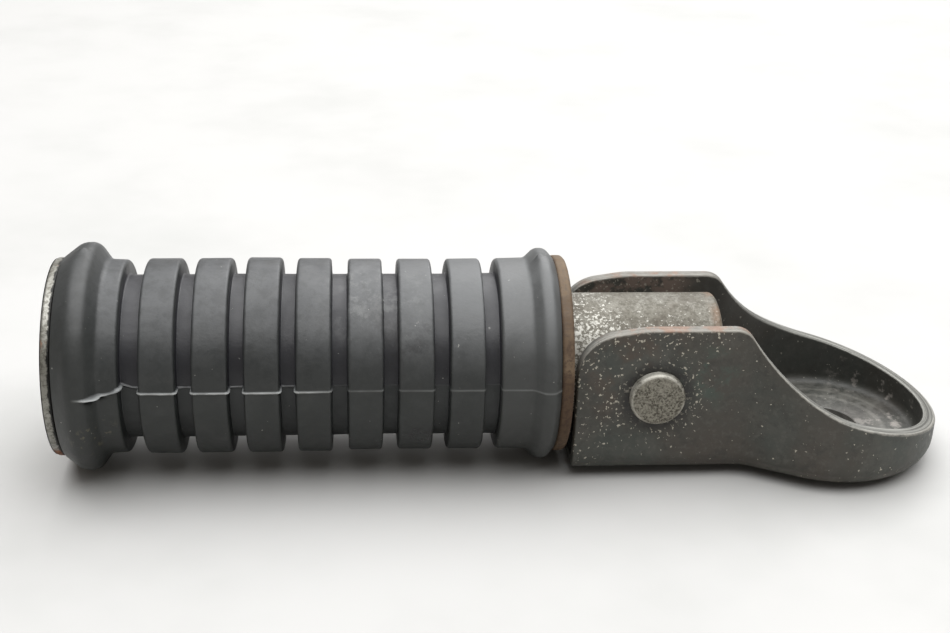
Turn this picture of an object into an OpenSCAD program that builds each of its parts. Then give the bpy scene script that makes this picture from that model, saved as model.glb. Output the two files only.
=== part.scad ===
// Folding passenger foot peg on its pressed steel mounting bracket.
// The bolt hole in the cup is at the origin, the peg points along -X, the cup opens along +Z.

/* [Bracket sheet] */
// Thickness of the bracket's sheet
sheet_t = 2.7; // [2:0.1:3.5]
// Clearance between the tube and each ear
fork_clearance = 0.2; // [0.15:0.05:1.2]
// Inside radius where the sheet turns up from the floor
sheet_bend_r = 2; // [1:0.25:3]
// Outside radius where each ear swings out towards the cup
neck_bend_r = 6; // [4:0.5:10]

/* [Bracket cup] */
// Inside radius of the cup's wall
cup_r = 21.3; // [20:0.1:24]
// Radius of the bolt hole in the cup's floor
bolt_hole_r = 8.2; // [5:0.1:9]
// Height of the cup's rim above the seat, level with the bolt hole
rim_h = 14; // [10:0.5:18]
// Fall of the rim towards the end of the cup, in degrees
rim_fall = 15; // [5:1:20]
// Radius of the sweep from the ears down to the rim
rim_blend_r = 38; // [15:1:45]

/* [Bracket ears] */
// Distance from the pivot pin to the bolt hole
pin_to_bolt = 40.7; // [38:0.1:46]
// Height of the pivot pin above the seat
pin_h = 18.2; // [17:0.1:21]
// Distance from the pin to the ears' front edges
ear_front = 16.6; // [14:0.1:18]
// Height of the ears above the pin
ear_top = 14.75; // [12:0.25:17]
// Height above the pin at which the front corner starts
ear_front_h = 12.6; // [10:0.1:14]
// Length of the top edge in front of the pin
top_front = 3; // [1:0.5:6]
// Radius where the top edge starts to fall towards the front
top_corner_r = 20; // [5:1:30]
// Length of the top edge behind the pin
top_back = 15.6; // [13:0.1:18]
// Radius of the ears' front corners
front_corner_r = 10; // [6:0.5:11]
// Radius of the ears' back corners
back_corner_r = 5; // [3:0.5:8]
// Slope of the ears' back edges, in degrees
back_slope = 42; // [35:1:50]

/* [Pivot pin] */
// Radius of the pin's shank
pin_r = 4; // [3:0.1:5]
// Radius of the pin's head
pin_head_r = 5.7; // [5.5:0.05:7]
// Thickness of the pin's head
pin_head_t = 1.8; // [1.5:0.1:3]
// Clearance of the pin in its holes
pin_clearance = 0.05; // [0.02:0.01:0.1]
// Outside radius of the washer on the pin
pin_washer_r = 8; // [7:0.5:9]
// Thickness of the washer on the pin
pin_washer_t = 1.2; // [0.8:0.1:2]
// Length of the pin past the split pin
pin_tail = 2.5; // [2:0.1:4]
// Radius of the split pin's stem
split_pin_r = 1; // [0.8:0.1:1.2]
// Radius of the split pin's eye, to the middle of its wire
split_eye_r = 2.4; // [2:0.1:3]
// Radius of the wire of the eye
split_wire_r = 0.8; // [0.5:0.1:1]
// Gap between the eye and the pivot pin
split_eye_gap = 0.4; // [0.2:0.1:1]
// Length of the split pin's bent legs
split_leg_l = 3.5; // [2:0.5:5]
// Angle of the legs from straight down
split_leg_angle = 40; // [20:5:60]
// Clearance of the split pin in its hole
split_pin_clearance = 0.1; // [0.05:0.05:0.2]
// Clearance between the washers and what they bear on
washer_clearance = 0.2; // [0.1:0.05:0.3]

/* [Peg tube] */
// Outside radius of the tube
tube_r = 12.7; // [12:0.1:12.8]
// Thickness of the tube's wall
tube_wall = 3.5; // [2.5:0.1:4]
// Height of the tube's centre line above the pin
tube_rise = 2.6; // [1:0.1:3]
// Length of the tube behind the pin
tube_back = 14.4; // [12:0.1:15]
// Clearance between the tube's end and the bracket's floor as the peg folds
tube_swing_clearance = 0.5; // [0.3:0.1:1]
// Rounding of the tube's inner end
tube_end_r = 1; // [0.5:0.25:1.5]

/* [End plate and thrust washer] */
// Radius of the end plate
plate_r = 20.8; // [19:0.1:22]
// Thickness of the end plate
plate_t = 2.1; // [1.5:0.1:3]
// Rounding of the end plate's rim
plate_edge_r = 0.6; // [0.2:0.1:0.7]
// Length of the end plate's spigot inside the tube
spigot_l = 6; // [4:1:12]
// Clearance of the spigot in the tube
spigot_clearance = 0.1; // [0.05:0.05:0.3]
// Radius of the thrust washer
thrust_r = 20.8; // [19:0.1:22]
// Thickness of the thrust washer
thrust_t = 2.5; // [2:0.1:3]
// Rounding of the thrust washer's rim on the bracket side
thrust_edge_r = 1; // [0.5:0.1:1.4]
// Clearance of the thrust washer round the tube
thrust_bore_clearance = 0.25; // [0.1:0.05:0.5]
// Clearance that the ears' corners sweep past the thrust washer with
fold_clearance = 0.1; // [0.1:0.05:0.5]

/* [Rubber grip] */
// Length of the grip
grip_l = 100; // [90:1:120]
// Radius of the ribs and collars
rib_r = 20; // [18:0.1:22]
// Radius at the bottom of the grooves
groove_r = 16.85; // [15:0.05:17.5]
// Width of a rib
rib_w = 6.75; // [5:0.05:8]
// Distance from rib to rib
rib_pitch = 10.2; // [9:0.05:12]
// Number of ribs
rib_count = 7; // [5:1:8]
// Rounding of the ribs' edges
rib_edge_r = 0.7; // [0.3:0.1:1]
// Width of the outer collar, from the end of the grip
outer_collar_w = 12.95; // [11:0.05:15]
// Width of the inner collar, from the end of the grip
inner_collar_w = 12.2; // [11:0.05:15]
// Outside radius of the outer bead
outer_bead_r = 23.6; // [22:0.1:25]
// Half the width of the outer bead
outer_bead_half = 4.3; // [3:0.1:5]
// Outside radius of the inner bead
inner_bead_r = 22.3; // [21:0.1:24]
// Half the width of the inner bead
inner_bead_half = 3.2; // [2.8:0.1:4]
// Clearance between the grip and the tube
grip_clearance = 0.15; // [0.05:0.05:0.3]

/* [Hidden] */
$fn = 96;
// How far a cutter runs past the faces that it cuts
over = 1;

// Places along X, measured from the bolt hole
pin_x = -pin_to_bolt;
front_x = pin_x - ear_front;
cup_end_x = cup_r + sheet_t;

// Widths of the fork
gap_half = tube_r + fork_clearance;
ear_outer = gap_half + sheet_t;

// The front corner's centre, and the furthest that the ears reach round the pin
top_rise_angle = atan((ear_top - ear_front_h) / (ear_front - top_front));
corner_cx = ear_front - front_corner_r;
corner_cz = ear_front_h + front_corner_r * tan(top_rise_angle) - front_corner_r / cos(top_rise_angle);
ear_reach = max(ear_front, norm([corner_cx, corner_cz]) + front_corner_r);

// Places along X on the peg
thrust_x = pin_x - ear_reach - fold_clearance;
grip_in_x = thrust_x - thrust_t;
grip_out_x = grip_in_x - grip_l;
tube_end_x = pin_x + tube_back;
axis_z = pin_h + tube_rise;
swing_r = pin_h - sheet_t - tube_swing_clearance;

// Plan of the sheet's inner face: ear, neck bend, straight flank, round cup
neck_r = neck_bend_r + sheet_t;
neck_x = pin_x + top_back;
neck_run = -neck_x;
flank_angle = atan2(neck_run, gap_half + neck_r)
              - acos((cup_r + neck_r) / norm([neck_run, gap_half + neck_r]));
neck_end = [neck_x + neck_r * sin(flank_angle), gap_half + neck_r * (1 - cos(flank_angle))];
flank_end = [-cup_r * sin(flank_angle), cup_r * cos(flank_angle)];
flank_l = norm(flank_end - neck_end);

// Lengths along the sheet's inner face, and the steps in which the sheet is made
ear_l = neck_x - front_x;
neck_l = neck_r * flank_angle * PI / 180;
half_l = ear_l + neck_l + flank_l + cup_r * (90 + flank_angle) * PI / 180;
station_gap = 1.5;
bend_steps = 4;
front_step_angle = 15;
corner_step_angle = 5;

// Corners of the ears' and rim's top edge in side view, and the edge that they give
back_x = pin_x + top_back;
ear_z = pin_h + ear_top;
blend_x = (ear_z + back_x * tan(back_slope) - rim_h) / (tan(back_slope) - tan(rim_fall));
far_x = cup_end_x + over;
side_corners = outline([
    [front_x, sheet_t, 0],
    [front_x, pin_h + ear_front_h, front_corner_r],
    [pin_x - top_front, ear_z, top_corner_r],
    [back_x, ear_z, back_corner_r],
    [blend_x, rim_h - blend_x * tan(rim_fall), rim_blend_r],
    [far_x, rim_h - far_x * tan(rim_fall), 0]]);
side_top = [for (i = [1 : len(side_corners) - 1]) side_corners[i]];

// Places along Y on the pivot pin
pin_washer_y = ear_outer + washer_clearance;
split_pin_y = pin_washer_y + pin_washer_t + washer_clearance + split_pin_r;
pin_end_y = split_pin_y + pin_tail;

// Unit vector from a to b
function toward(a, b) = (b - a) / norm(b - a);
// Points of an arc of radius r that rounds the corner at b between a and c
function rounded(a, b, c, r) =
    let (u = toward(b, a), w = toward(b, c), half = acos(u * w) / 2,
         mid = (u + w) / norm(u + w), centre = b + mid * r / sin(half),
         side = sign(u[0] * w[1] - u[1] * w[0]), sweep = 180 - 2 * half,
         start = atan2(-mid[1], -mid[0]), steps = ceil(sweep / corner_step_angle))
    [for (i = [0 : steps])
        let (ang = start + side * sweep * (0.5 - i / steps))
        centre + r * [cos(ang), sin(ang)]];
// Outline through the corners, each an [x, y, radius], rounded where the radius isn't 0
function outline(corners) =
    [for (i = [0 : len(corners) - 1])
        let (n = len(corners), p = corners[(i + n - 1) % n], q = corners[i], s = corners[(i + 1) % n])
        each (q[2] == 0 ? [[q[0], q[1]]]
            : rounded([p[0], p[1]], [q[0], q[1]], [s[0], s[1]], q[2]))];

// Place on the sheet's inner face, s mm along it from the ear's front edge: [x, y, heading]
function path_at(s) =
    s < ear_l ? [front_x + s, gap_half, 0]
    : s < ear_l + neck_l
        ? let (a = (s - ear_l) / neck_r * 180 / PI)
          [neck_x + neck_r * sin(a), gap_half + neck_r * (1 - cos(a)), a]
    : s < ear_l + neck_l + flank_l
        ? let (d = s - ear_l - neck_l)
          [neck_end[0] + d * cos(flank_angle), neck_end[1] + d * sin(flank_angle), flank_angle]
    : let (a = flank_angle - (s - ear_l - neck_l - flank_l) / cup_r * 180 / PI)
      [-cup_r * sin(a), cup_r * cos(a), a];

// Height of the sheet's top edge at x
function top_z(x) = lookup(x, side_top);

// Half sections of the sheet at a place on its inner face, from the floor's edge to the top edge
function outer_half(p) =
    let (bend_out = sheet_bend_r + sheet_t)
    concat(
        [for (i = [0 : bend_steps])
            let (a = 90 * i / bend_steps - 90)
            edge_point(p, bend_out * cos(a) - sheet_bend_r, bend_out * (1 + sin(a)))],
        [edge_top(p, sheet_t)]);
function inner_half(p) =
    let (bend_out = sheet_bend_r + sheet_t)
    concat(
        [for (i = [0 : bend_steps])
            let (a = 90 * i / bend_steps - 90)
            edge_point(p, sheet_bend_r * (cos(a) - 1), bend_out + sheet_bend_r * sin(a))],
        [edge_top(p, 0)]);
// Point d mm outside the inner face and z high, and the top edge's point there
function edge_point(p, d, z) = [p[0] - d * sin(p[2]), p[1] + d * cos(p[2]), z];
function edge_top(p, d) = edge_point(p, d, top_z(p[0] - d * sin(p[2])));

// The same points on the near side, and a list from its end to its start
function near_side(points) = [for (q = points) [q[0], 0 - q[1], q[2]]];
function reversed(list) = [for (i = [len(list) - 1 : -1 : 0]) list[i]];

// The whole sheet: one U section after another, from the ears' front edges to the end of the cup
module formed_sheet() {
    front_s = [for (a = [0 : front_step_angle : 90 - front_step_angle]) front_corner_r * (1 - cos(a))];
    rest_n = ceil((half_l - front_corner_r) / station_gap);
    rest_s = [for (i = [0 : rest_n]) front_corner_r + (half_l - front_corner_r) * i / rest_n];
    places = [for (s = concat(front_s, rest_s)) path_at(s)];
    outer = [for (p = places) let (half = outer_half(p)) concat(reversed(near_side(half)), half)];
    inner = [for (p = places) let (half = inner_half(p)) concat(reversed(near_side(half)), half)];
    k = len(outer[0]);
    m = 2 * k;
    n = len(places);
    polyhedron(
        points = [for (i = [0 : n - 1]) each concat(outer[i], reversed(inner[i]))],
        faces = concat(
            [for (j = [0 : k - 2]) [j, j + 1, m - 2 - j, m - 1 - j]],
            [for (i = [0 : n - 2], j = [0 : m - 1])
                let (next = (j + 1) % m) [i * m + j, (i + 1) * m + next, i * m + next]],
            [for (i = [0 : n - 2], j = [0 : m - 1])
                let (next = (j + 1) % m) [i * m + j, (i + 1) * m + j, (i + 1) * m + next]]));
}

// A cylinder along Y from y0 to y1, at the pivot
module pivot_bar(r, y0, y1) {
    translate([pin_x, y0, pin_h]) rotate([-90, 0, 0]) cylinder(r = r, h = y1 - y0);
}

module mounting_bracket() {
    color([0.20, 0.21, 0.20])
        difference() {
            formed_sheet();
            translate([0, 0, -over]) cylinder(r = bolt_hole_r, h = sheet_t + 2 * over);
            pivot_bar(pin_r + pin_clearance, -ear_outer - over, ear_outer + over);
        }
}

module pivot_pin() {
    head_y = -ear_outer - pin_head_t;
    head_edge_r = 0.4 * pin_head_t;
    color([0.55, 0.54, 0.50])
        difference() {
            union() {
                pivot_bar(pin_r, -ear_outer - pin_head_t / 2, pin_end_y);
                translate([pin_x, head_y, pin_h]) rotate([-90, 0, 0])
                    rotate_extrude() {
                        translate([0, head_edge_r]) square([pin_head_r, pin_head_t - head_edge_r]);
                        square([pin_head_r - head_edge_r, pin_head_t]);
                        translate([pin_head_r - head_edge_r, head_edge_r]) circle(r = head_edge_r);
                    }
            }
            translate([pin_x, split_pin_y, pin_h - pin_r - over])
                cylinder(r = split_pin_r + split_pin_clearance, h = 2 * (pin_r + over));
        }
}

module pin_washer() {
    color([0.60, 0.60, 0.58])
        difference() {
            pivot_bar(pin_washer_r, pin_washer_y, pin_washer_y + pin_washer_t);
            pivot_bar(pin_r + washer_clearance, pin_washer_y - over, pin_washer_y + pin_washer_t + over);
        }
}

// Split pin: a round eye on top, a straight stem, and two legs bent apart under the pivot pin
module split_pin() {
    stem_top = pin_r + split_eye_gap + split_wire_r;
    stem_bottom = -pin_r - split_wire_r;
    leg_r = 0.6 * split_pin_r;
    color([0.62, 0.62, 0.60])
        translate([pin_x, split_pin_y, pin_h]) {
            translate([0, 0, stem_bottom]) cylinder(r = split_pin_r, h = stem_top - stem_bottom, $fn = 32);
            translate([0, 0, stem_top + split_eye_r]) rotate([90, 0, 0])
                rotate_extrude($fn = 48) translate([split_eye_r, 0]) circle(r = split_wire_r, $fn = 24);
            for (side = [-1, 1])
                translate([side * leg_r / 2, 0, stem_bottom]) {
                    sphere(r = leg_r, $fn = 24);
                    rotate([0, side * (180 - split_leg_angle), 0])
                        cylinder(r = leg_r, h = split_leg_l, $fn = 24);
                }
        }
}

// The tube, cut round at its inner end so that it swings clear of the bracket's floor
module peg_tube() {
    full_l = tube_end_x - grip_out_x;
    side_y = tube_r + over;
    color([0.62, 0.62, 0.60])
        difference() {
            intersection() {
                translate([grip_out_x, 0, axis_z]) rotate([0, 90, 0])
                    rotate_extrude() difference() {
                        union() {
                            square([tube_r - tube_end_r, full_l]);
                            square([tube_r, full_l - tube_end_r]);
                            translate([tube_r - tube_end_r, full_l - tube_end_r]) circle(r = tube_end_r);
                        }
                        translate([0, -over]) square([tube_r - tube_wall, full_l + 2 * over]);
                    }
                union() {
                    translate([grip_out_x - over, -side_y, axis_z - side_y])
                        cube([pin_x - grip_out_x + over, 2 * side_y, 2 * side_y]);
                    translate([pin_x - over, -side_y, pin_h])
                        cube([tube_back + 2 * over, 2 * side_y, 2 * side_y]);
                    pivot_bar(swing_r, -side_y, side_y);
                }
            }
            pivot_bar(pin_r + pin_clearance, -side_y, side_y);
        }
}

// Plated disc on the tube's outer end, with a spigot inside the tube
module end_plate() {
    color([0.72, 0.72, 0.70])
        translate([grip_out_x - plate_t, 0, axis_z]) rotate([0, 90, 0])
            rotate_extrude() {
                translate([0, plate_edge_r]) square([plate_r, plate_t - 2 * plate_edge_r]);
                square([plate_r - plate_edge_r, plate_t]);
                for (y = [plate_edge_r, plate_t - plate_edge_r])
                    translate([plate_r - plate_edge_r, y]) circle(r = plate_edge_r);
                square([tube_r - tube_wall - spigot_clearance, plate_t + spigot_l]);
            }
}

// Plain washer that the grip pushes against the ears
module thrust_washer() {
    bore_r = tube_r + thrust_bore_clearance;
    color([0.42, 0.30, 0.22])
        translate([grip_in_x, 0, axis_z]) rotate([0, 90, 0])
            rotate_extrude() difference() {
                union() {
                    square([thrust_r, thrust_t - thrust_edge_r]);
                    square([thrust_r - thrust_edge_r, thrust_t]);
                    translate([thrust_r - thrust_edge_r, thrust_t - thrust_edge_r]) circle(r = thrust_edge_r);
                }
                translate([0, -over]) square([bore_r, thrust_t + 2 * over]);
            }
}

// Section of one ring of rubber from x0, w wide and r high, with rounded edges
module ring_section(x0, w, r, edge_r) {
    translate([0, x0 + edge_r]) square([r, w - 2 * edge_r]);
    translate([0, x0]) square([r - edge_r, w]);
    for (x = [x0 + edge_r, x0 + w - edge_r])
        translate([r - edge_r, x]) circle(r = edge_r, $fn = 32);
}

module rubber_grip() {
    ribs_l = (rib_count - 1) * rib_pitch + rib_w;
    ribs_x = outer_collar_w + (grip_l - outer_collar_w - inner_collar_w - ribs_l) / 2;
    color([0.23, 0.24, 0.26])
        translate([grip_out_x, 0, axis_z]) rotate([0, 90, 0])
            rotate_extrude() difference() {
                union() {
                    square([groove_r, grip_l]);
                    ring_section(0, outer_collar_w, rib_r, rib_edge_r);
                    for (i = [0 : rib_count - 1])
                        ring_section(ribs_x + i * rib_pitch, rib_w, rib_r, rib_edge_r);
                    ring_section(grip_l - inner_collar_w, inner_collar_w, rib_r, rib_edge_r);
                    translate([outer_bead_r - outer_bead_half, outer_bead_half]) circle(r = outer_bead_half);
                    translate([inner_bead_r - inner_bead_half, grip_l - inner_bead_half])
                        circle(r = inner_bead_half);
                }
                translate([0, -over]) square([tube_r + grip_clearance, grip_l + 2 * over]);
            }
}

mounting_bracket();
pivot_pin();
pin_washer();
split_pin();
peg_tube();
end_plate();
thrust_washer();
rubber_grip();
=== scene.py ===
# Passenger peg bracket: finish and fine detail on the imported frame. Shapes are worked out in millimetres.
import math
import bmesh
import bpy
import numpy as np
from mathutils import Matrix, Vector


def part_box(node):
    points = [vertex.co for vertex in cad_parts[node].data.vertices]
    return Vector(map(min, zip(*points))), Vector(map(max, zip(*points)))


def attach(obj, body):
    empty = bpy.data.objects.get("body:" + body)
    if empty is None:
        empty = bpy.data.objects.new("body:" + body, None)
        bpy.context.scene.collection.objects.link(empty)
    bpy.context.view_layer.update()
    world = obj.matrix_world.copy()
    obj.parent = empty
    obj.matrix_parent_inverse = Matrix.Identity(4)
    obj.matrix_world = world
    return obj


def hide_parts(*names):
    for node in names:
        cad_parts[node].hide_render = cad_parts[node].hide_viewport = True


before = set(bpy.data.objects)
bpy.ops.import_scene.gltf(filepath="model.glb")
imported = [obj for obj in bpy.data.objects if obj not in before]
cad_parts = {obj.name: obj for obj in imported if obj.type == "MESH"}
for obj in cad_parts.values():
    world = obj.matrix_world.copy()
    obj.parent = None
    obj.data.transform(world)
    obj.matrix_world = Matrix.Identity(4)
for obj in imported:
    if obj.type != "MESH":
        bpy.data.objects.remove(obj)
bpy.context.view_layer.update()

MM = 0.001

# Bracket sheet, as in the CAD model, with the rim and the neck fitted closer to the photograph
SHEET_T = 2.7
GAP_HALF = 12.9
BEND_R = 2.0
NECK_BEND_R = 6.6
CUP_R = 21.0
BOLT_HOLE_R = 8.2
BOLT_HOLE_CHAMFER = 0.35
RIM_H = 14.5
RIM_FALL = 15.0
RIM_BLEND_R = 40.0
PIN_X = -40.7
PIN_H = 18.2
PIN_AT_EAR = (PIN_X, -GAP_HALF - SHEET_T, PIN_H)
EAR_FRONT = 16.6
EAR_TOP = 14.75
EAR_FRONT_H = 12.6
TOP_FRONT = 3.0
TOP_BACK = 17.6
FRONT_CORNER_R = 9.0
TOP_CORNER_R = 20.0
BACK_CORNER_R = 4.5
BACK_SLOPE = 54.0
PIN_HOLE_R = 4.05
PIN_HOLE_CHAMFER = 0.3
EDGE_R = 0.45

# Grip, with x measured from its outer end. A corner is its x, its radius and the radius that rounds it.
GRIP_L = 100.0
RIB_R = 20.0
GROOVE_R = 16.85
RIB_W = 7.0
RIB_PITCH = 10.2
RIB_COUNT = 7
OUTER_COLLAR_W = 12.55
INNER_COLLAR_W = 12.05
OUTER_GROOVE_W = 4.0
OUTER_BEAD_R = 23.6
INNER_BEAD_R = 22.15
GRIP_BORE_R = 12.85
OUTER_BEAD = [(0, 20.9, 0.6), (3.5, OUTER_BEAD_R, 3.2), (6.2, OUTER_BEAD_R, 2.3), (8.7, RIB_R + 0.1, 1.6)]
INNER_BEAD = [
    (GRIP_L - 5.6, RIB_R + 0.1, 1.7), (GRIP_L - 3.4, INNER_BEAD_R, 1.9), (GRIP_L - 1.5, INNER_BEAD_R, 1.7),
    (GRIP_L, 20.4, 0.5)]
COLLAR_R = RIB_R - 0.05
COLLAR_EDGE_R = 0.8
RIB_EDGE_R = 0.7
GROOVE_ROOT_R = 0.35

# Mould seam of the grip: its angle below the level of the axis, on the side towards -Y
SEAM_ANGLE = 4.0
SEAM_H = 0.24
SEAM_W = 0.26

# Vent pips on top of the two beads
PIP_ANGLE = 90.0
PIP_X = (4.6, 96.8)
PIP_H = 0.5
PIP_W = 0.7
PIP_ARC_R = 22.0

# End plate and thrust washer
PLATE_T = 2.1
PLATE_TRIM = 0.35
SPIGOT_R = 9.1
THRUST_BORE_R = 12.95

rng = np.random.default_rng(11)


def box_mm(node):
    """Lowest and highest corner of a CAD node, in millimetres."""
    low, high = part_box(node)
    return np.array(low) / MM, np.array(high) / MM


grip_low = box_mm("rubber_grip")[0]
plate_low, plate_high = box_mm("end_plate")
thrust_low, thrust_high = box_mm("thrust_washer")
AXIS_Z = (plate_low[2] + plate_high[2]) / 2
PLATE_R = (plate_high[2] - plate_low[2]) / 2 - PLATE_TRIM
THRUST_R = (thrust_high[2] - thrust_low[2]) / 2


# Outlines with rounded corners

def rounded(before, corner, after, radius, step=6.0):
    """Points of the arc that rounds a corner between its two neighbours."""
    before, corner, after = (np.array(p[:2], float) for p in (before, corner, after))
    u = (before - corner) / np.linalg.norm(before - corner)
    w = (after - corner) / np.linalg.norm(after - corner)
    half = math.acos(max(-1.0, min(1.0, float(u @ w)))) / 2
    mid = (u + w) / np.linalg.norm(u + w)
    centre = corner + mid * radius / math.sin(half)
    side = math.copysign(1.0, u[0] * w[1] - u[1] * w[0])
    sweep = math.pi - 2 * half
    start = math.atan2(-mid[1], -mid[0])
    steps = max(2, math.ceil(math.degrees(sweep) / step))
    angles = [start + side * sweep * (0.5 - i / steps) for i in range(steps + 1)]
    return [tuple(centre + radius * np.array((math.cos(a), math.sin(a)))) for a in angles]


def outline(corners, step=6.0):
    """Open outline through corners of (x, y, radius), each rounded where its radius isn't 0."""
    points = [tuple(corners[0][:2])]
    for before, corner, after in zip(corners, corners[1:], corners[2:]):
        points += rounded(before, corner, after, corner[2], step) if corner[2] else [tuple(corner[:2])]
    return points + [tuple(corners[-1][:2])]


def divided(points, longest):
    """The same outline with no segment longer than the given length."""
    result = [points[0]]
    for a, b in zip(points, points[1:]):
        parts = max(1, math.ceil(math.dist(a, b) / longest))
        result += [tuple(np.array(a) + (np.array(b) - np.array(a)) * i / parts) for i in range(1, parts + 1)]
    return result


# Meshes

def mesh_object(name, points, faces, smooth_angle=35.0):
    """Object from points in millimetres, with doubles merged and normals outward."""
    mesh = bpy.data.meshes.new(name)
    mesh.from_pydata([tuple(p) for p in np.asarray(points) * MM], [], faces)
    bm = bmesh.new()
    bm.from_mesh(mesh)
    bmesh.ops.remove_doubles(bm, verts=bm.verts, dist=1e-7)
    bmesh.ops.dissolve_degenerate(bm, edges=bm.edges, dist=1e-8)
    bmesh.ops.recalc_face_normals(bm, faces=bm.faces)
    bm.to_mesh(mesh)
    bm.free()
    mesh.shade_smooth()
    mesh.set_sharp_from_angle(angle=math.radians(smooth_angle))
    obj = bpy.data.objects.new(name, mesh)
    bpy.context.scene.collection.objects.link(obj)
    return obj


def apply_modifiers(obj):
    """Puts the result of the object's modifiers into its mesh."""
    graph = bpy.context.evaluated_depsgraph_get()
    graph.update()
    mesh = bpy.data.meshes.new_from_object(obj.evaluated_get(graph))
    obj.modifiers.clear()
    obj.data = mesh


def cut(obj, cutter):
    """Takes the cutter out of the object, and deletes the cutter."""
    boolean = obj.modifiers.new("cut", "BOOLEAN")
    boolean.operation = "DIFFERENCE"
    boolean.solver = "EXACT"
    boolean.object = cutter
    apply_modifiers(obj)
    bpy.data.objects.remove(cutter)


def weigh_normals(obj):
    """Lets the flat faces keep flat shading beside their rounded edges."""
    weighted = obj.modifiers.new("normals", "WEIGHTED_NORMAL")
    weighted.keep_sharp = True
    apply_modifiers(obj)


def lathe(name, profile, centre, axis="x", angles=None, shape=None, smooth_angle=35.0):
    """A closed profile of (along, radius) points turned round an axis through centre. Angle 0 points to -Y
    for axis x and to +X for axis y, and 90 degrees points up."""
    angles = np.arange(0, 360, 2.5) if angles is None else np.asarray(angles)
    profile = np.array(profile, float)
    n, k = len(angles), len(profile)
    along = np.repeat(profile[None, :, 0], n, axis=0)
    radius = np.repeat(profile[None, :, 1], n, axis=0)
    turn = np.repeat(angles[:, None], k, axis=1)
    if shape:
        along, radius, turn = shape(along, radius, turn)
    c, s = np.cos(np.radians(turn)), np.sin(np.radians(turn))
    if axis == "x":
        points = np.stack([centre[0] + along, centre[1] - radius * c, centre[2] + radius * s], axis=-1)
    else:
        points = np.stack([centre[0] + radius * c, centre[1] + along, centre[2] + radius * s], axis=-1)
    faces = [(i * k + j, ((i + 1) % n) * k + j, ((i + 1) % n) * k + (j + 1) % k, i * k + (j + 1) % k)
             for i in range(n) for j in range(k)]
    return mesh_object(name, points.reshape(-1, 3), faces, smooth_angle)


def set_attribute(obj, name, values):
    """A number for each vertex, for the materials to read."""
    attribute = obj.data.attributes.new(name, "FLOAT", "POINT")
    attribute.data.foreach_set("value", np.asarray(values, np.float32))


def vertices_mm(obj):
    """The mesh's points, one row each."""
    co = np.zeros(len(obj.data.vertices) * 3, np.float32)
    obj.data.vertices.foreach_get("co", co)
    return co.reshape(-1, 3).astype(float) / MM


# Bracket: one sheet, swept from the ears' front edges round the cup, as in the CAD model

def bracket_path():
    """Sizes of the sheet's plan: neck start, neck radius, flank angle and flank length."""
    neck_r = NECK_BEND_R + SHEET_T
    neck_x = PIN_X + TOP_BACK
    reach = math.hypot(-neck_x, GAP_HALF + neck_r)
    flank = math.atan2(-neck_x, GAP_HALF + neck_r) - math.acos((CUP_R + neck_r) / reach)
    neck_end = (neck_x + neck_r * math.sin(flank), GAP_HALF + neck_r * (1 - math.cos(flank)))
    flank_end = (-CUP_R * math.sin(flank), CUP_R * math.cos(flank))
    return neck_x, neck_r, flank, neck_end, math.dist(neck_end, flank_end)


NECK_X, NECK_R, FLANK, NECK_END, FLANK_L = bracket_path()
FRONT_X = PIN_X - EAR_FRONT
EAR_L = NECK_X - FRONT_X
NECK_L = NECK_R * FLANK
HALF_L = EAR_L + NECK_L + FLANK_L + CUP_R * (math.pi / 2 + FLANK)


def path_at(s):
    """Place on the sheet's inner face, s mm along it from the ear's front edge: x, y, heading."""
    if s < EAR_L:
        return FRONT_X + s, GAP_HALF, 0.0
    if s < EAR_L + NECK_L:
        a = (s - EAR_L) / NECK_R
        return NECK_X + NECK_R * math.sin(a), GAP_HALF + NECK_R * (1 - math.cos(a)), a
    if s < EAR_L + NECK_L + FLANK_L:
        d = s - EAR_L - NECK_L
        return NECK_END[0] + d * math.cos(FLANK), NECK_END[1] + d * math.sin(FLANK), FLANK
    a = FLANK - (s - EAR_L - NECK_L - FLANK_L) / CUP_R
    return -CUP_R * math.sin(a), CUP_R * math.cos(a), a


def side_edge():
    """The ears' and rim's top edge in side view."""
    back_x, ear_z = PIN_X + TOP_BACK, PIN_H + EAR_TOP
    slope, fall = math.tan(math.radians(BACK_SLOPE)), math.tan(math.radians(RIM_FALL))
    blend_x = (ear_z + back_x * slope - RIM_H) / (slope - fall)
    far_x = CUP_R + SHEET_T + 1
    return outline([
        (FRONT_X, SHEET_T, 0),
        (FRONT_X, PIN_H + EAR_FRONT_H, FRONT_CORNER_R),
        (PIN_X - TOP_FRONT, ear_z, TOP_CORNER_R),
        (back_x, ear_z, BACK_CORNER_R),
        (blend_x, RIM_H - blend_x * fall, RIM_BLEND_R),
        (far_x, RIM_H - far_x * fall, 0)], step=3.0)[1:]


EDGE_X, EDGE_Z = (np.array(c) for c in zip(*side_edge()))


def top_z(x):
    """Height of the sheet's top edge at x."""
    return np.interp(x, EDGE_X, EDGE_Z)


# Rows of the sheet's mesh: at the bend, up the wall, across the floor, round the rim's edges, along the sheet
BEND_STEPS = 8
WALL_ROWS = 16
FLOOR_COLUMNS = 24
EDGE_ANGLES = (15, 40, 65, 90)
STATION_STEP = 0.6


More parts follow.
